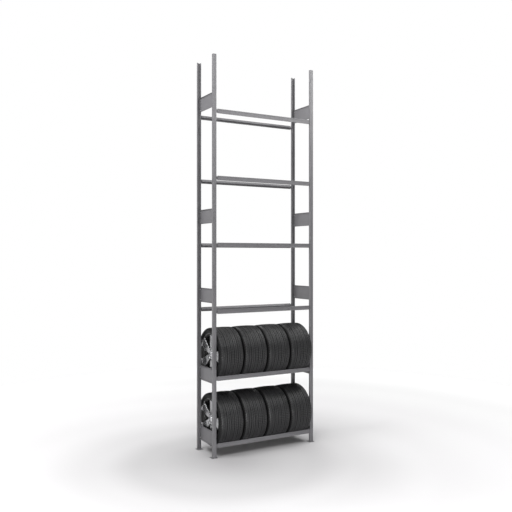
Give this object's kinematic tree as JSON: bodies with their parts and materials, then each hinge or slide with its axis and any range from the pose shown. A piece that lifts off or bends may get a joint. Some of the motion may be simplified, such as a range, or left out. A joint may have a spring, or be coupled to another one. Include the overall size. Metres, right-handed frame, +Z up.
{
  "type": "tyre storage rack",
  "caption": "Tall narrow steel rack with two bolted end frames and paired sloping-edge beams at each level, which hold upright wheels in a row; the lower levels are loaded.",
  "frame": {"origin": "on the floor, at the centre of the rack's footprint", "axes": "+Z up, +X to the right along the beams as seen from the front, +Y to the rear"},
  "size_m": [1.376, 0.61, 4.5],
  "materials": {
    "rack_paint": "satin grey powder coat",
    "plate_paint": "satin grey powder coat",
    "zinc": "dull zinc plating",
    "tyre": "matt black rubber",
    "alloy": "silver lacquer",
    "cap": "bright satin"
  },
  "bodies": {
    "rack": {"post_front_left": "rack_paint", "post_front_right": "rack_paint", "post_rear_left": "rack_paint", "post_rear_right": "rack_paint", "foot_front_left": "zinc", "foot_front_right": "zinc", "foot_rear_left": "zinc", "foot_rear_right": "zinc", "cross_plate_left_1": "plate_paint", "cross_plate_left_2": "plate_paint", "cross_plate_left_3": "plate_paint", "cross_plate_left_4": "plate_paint", "cross_plate_left_5": "plate_paint", "cross_plate_right_1": "plate_paint", "cross_plate_right_2": "plate_paint", "cross_plate_right_3": "plate_paint", "cross_plate_right_4": "plate_paint", "cross_plate_right_5": "plate_paint", "plate_bolts_left": "zinc", "plate_bolts_right": "zinc", "plate_nuts_left": "zinc", "plate_nuts_right": "zinc", "front_beam_1": "rack_paint", "front_beam_2": "rack_paint", "front_beam_3": "rack_paint", "front_beam_4": "rack_paint", "front_beam_5": "rack_paint", "front_beam_6": "rack_paint", "rear_beam_1": "rack_paint", "rear_beam_2": "rack_paint", "rear_beam_3": "rack_paint", "rear_beam_4": "rack_paint", "rear_beam_5": "rack_paint", "rear_beam_6": "rack_paint"},
    "wheel_1": {"tyre_1": "tyre", "rim_1": "alloy", "hub_cap_1": "cap"},
    "wheel_2": {"tyre_2": "tyre", "rim_2": "alloy", "hub_cap_2": "cap"},
    "wheel_3": {"tyre_3": "tyre", "rim_3": "alloy", "hub_cap_3": "cap"},
    "wheel_4": {"tyre_4": "tyre", "rim_4": "alloy", "hub_cap_4": "cap"},
    "wheel_5": {"tyre_5": "tyre", "rim_5": "alloy", "hub_cap_5": "cap"},
    "wheel_6": {"tyre_6": "tyre", "rim_6": "alloy", "hub_cap_6": "cap"},
    "wheel_7": {"tyre_7": "tyre", "rim_7": "alloy", "hub_cap_7": "cap"},
    "wheel_8": {"tyre_8": "tyre", "rim_8": "alloy", "hub_cap_8": "cap"}
  },
  "joints": [
    {"name": "wheel_1_roll_out", "type": "hinge", "parent": "rack", "child": "wheel_1", "pos_m": [0, -0.215, 0.161], "axis": [1, 0, 0], "range_deg": [0, 44]},
    {"name": "wheel_2_roll_out", "type": "hinge", "parent": "rack", "child": "wheel_2", "pos_m": [0, -0.215, 0.161], "axis": [1, 0, 0], "range_deg": [0, 44]},
    {"name": "wheel_3_roll_out", "type": "hinge", "parent": "rack", "child": "wheel_3", "pos_m": [0, -0.215, 0.161], "axis": [1, 0, 0], "range_deg": [0, 44]},
    {"name": "wheel_4_roll_out", "type": "hinge", "parent": "rack", "child": "wheel_4", "pos_m": [0, -0.215, 0.161], "axis": [1, 0, 0], "range_deg": [0, 44]},
    {"name": "wheel_5_roll_out", "type": "hinge", "parent": "rack", "child": "wheel_5", "pos_m": [0, -0.215, 0.908], "axis": [1, 0, 0], "range_deg": [0, 44]},
    {"name": "wheel_6_roll_out", "type": "hinge", "parent": "rack", "child": "wheel_6", "pos_m": [0, -0.215, 0.908], "axis": [1, 0, 0], "range_deg": [0, 44]},
    {"name": "wheel_7_roll_out", "type": "hinge", "parent": "rack", "child": "wheel_7", "pos_m": [0, -0.215, 0.908], "axis": [1, 0, 0], "range_deg": [0, 44]},
    {"name": "wheel_8_roll_out", "type": "hinge", "parent": "rack", "child": "wheel_8", "pos_m": [0, -0.215, 0.908], "axis": [1, 0, 0], "range_deg": [0, 44]}
  ]
}
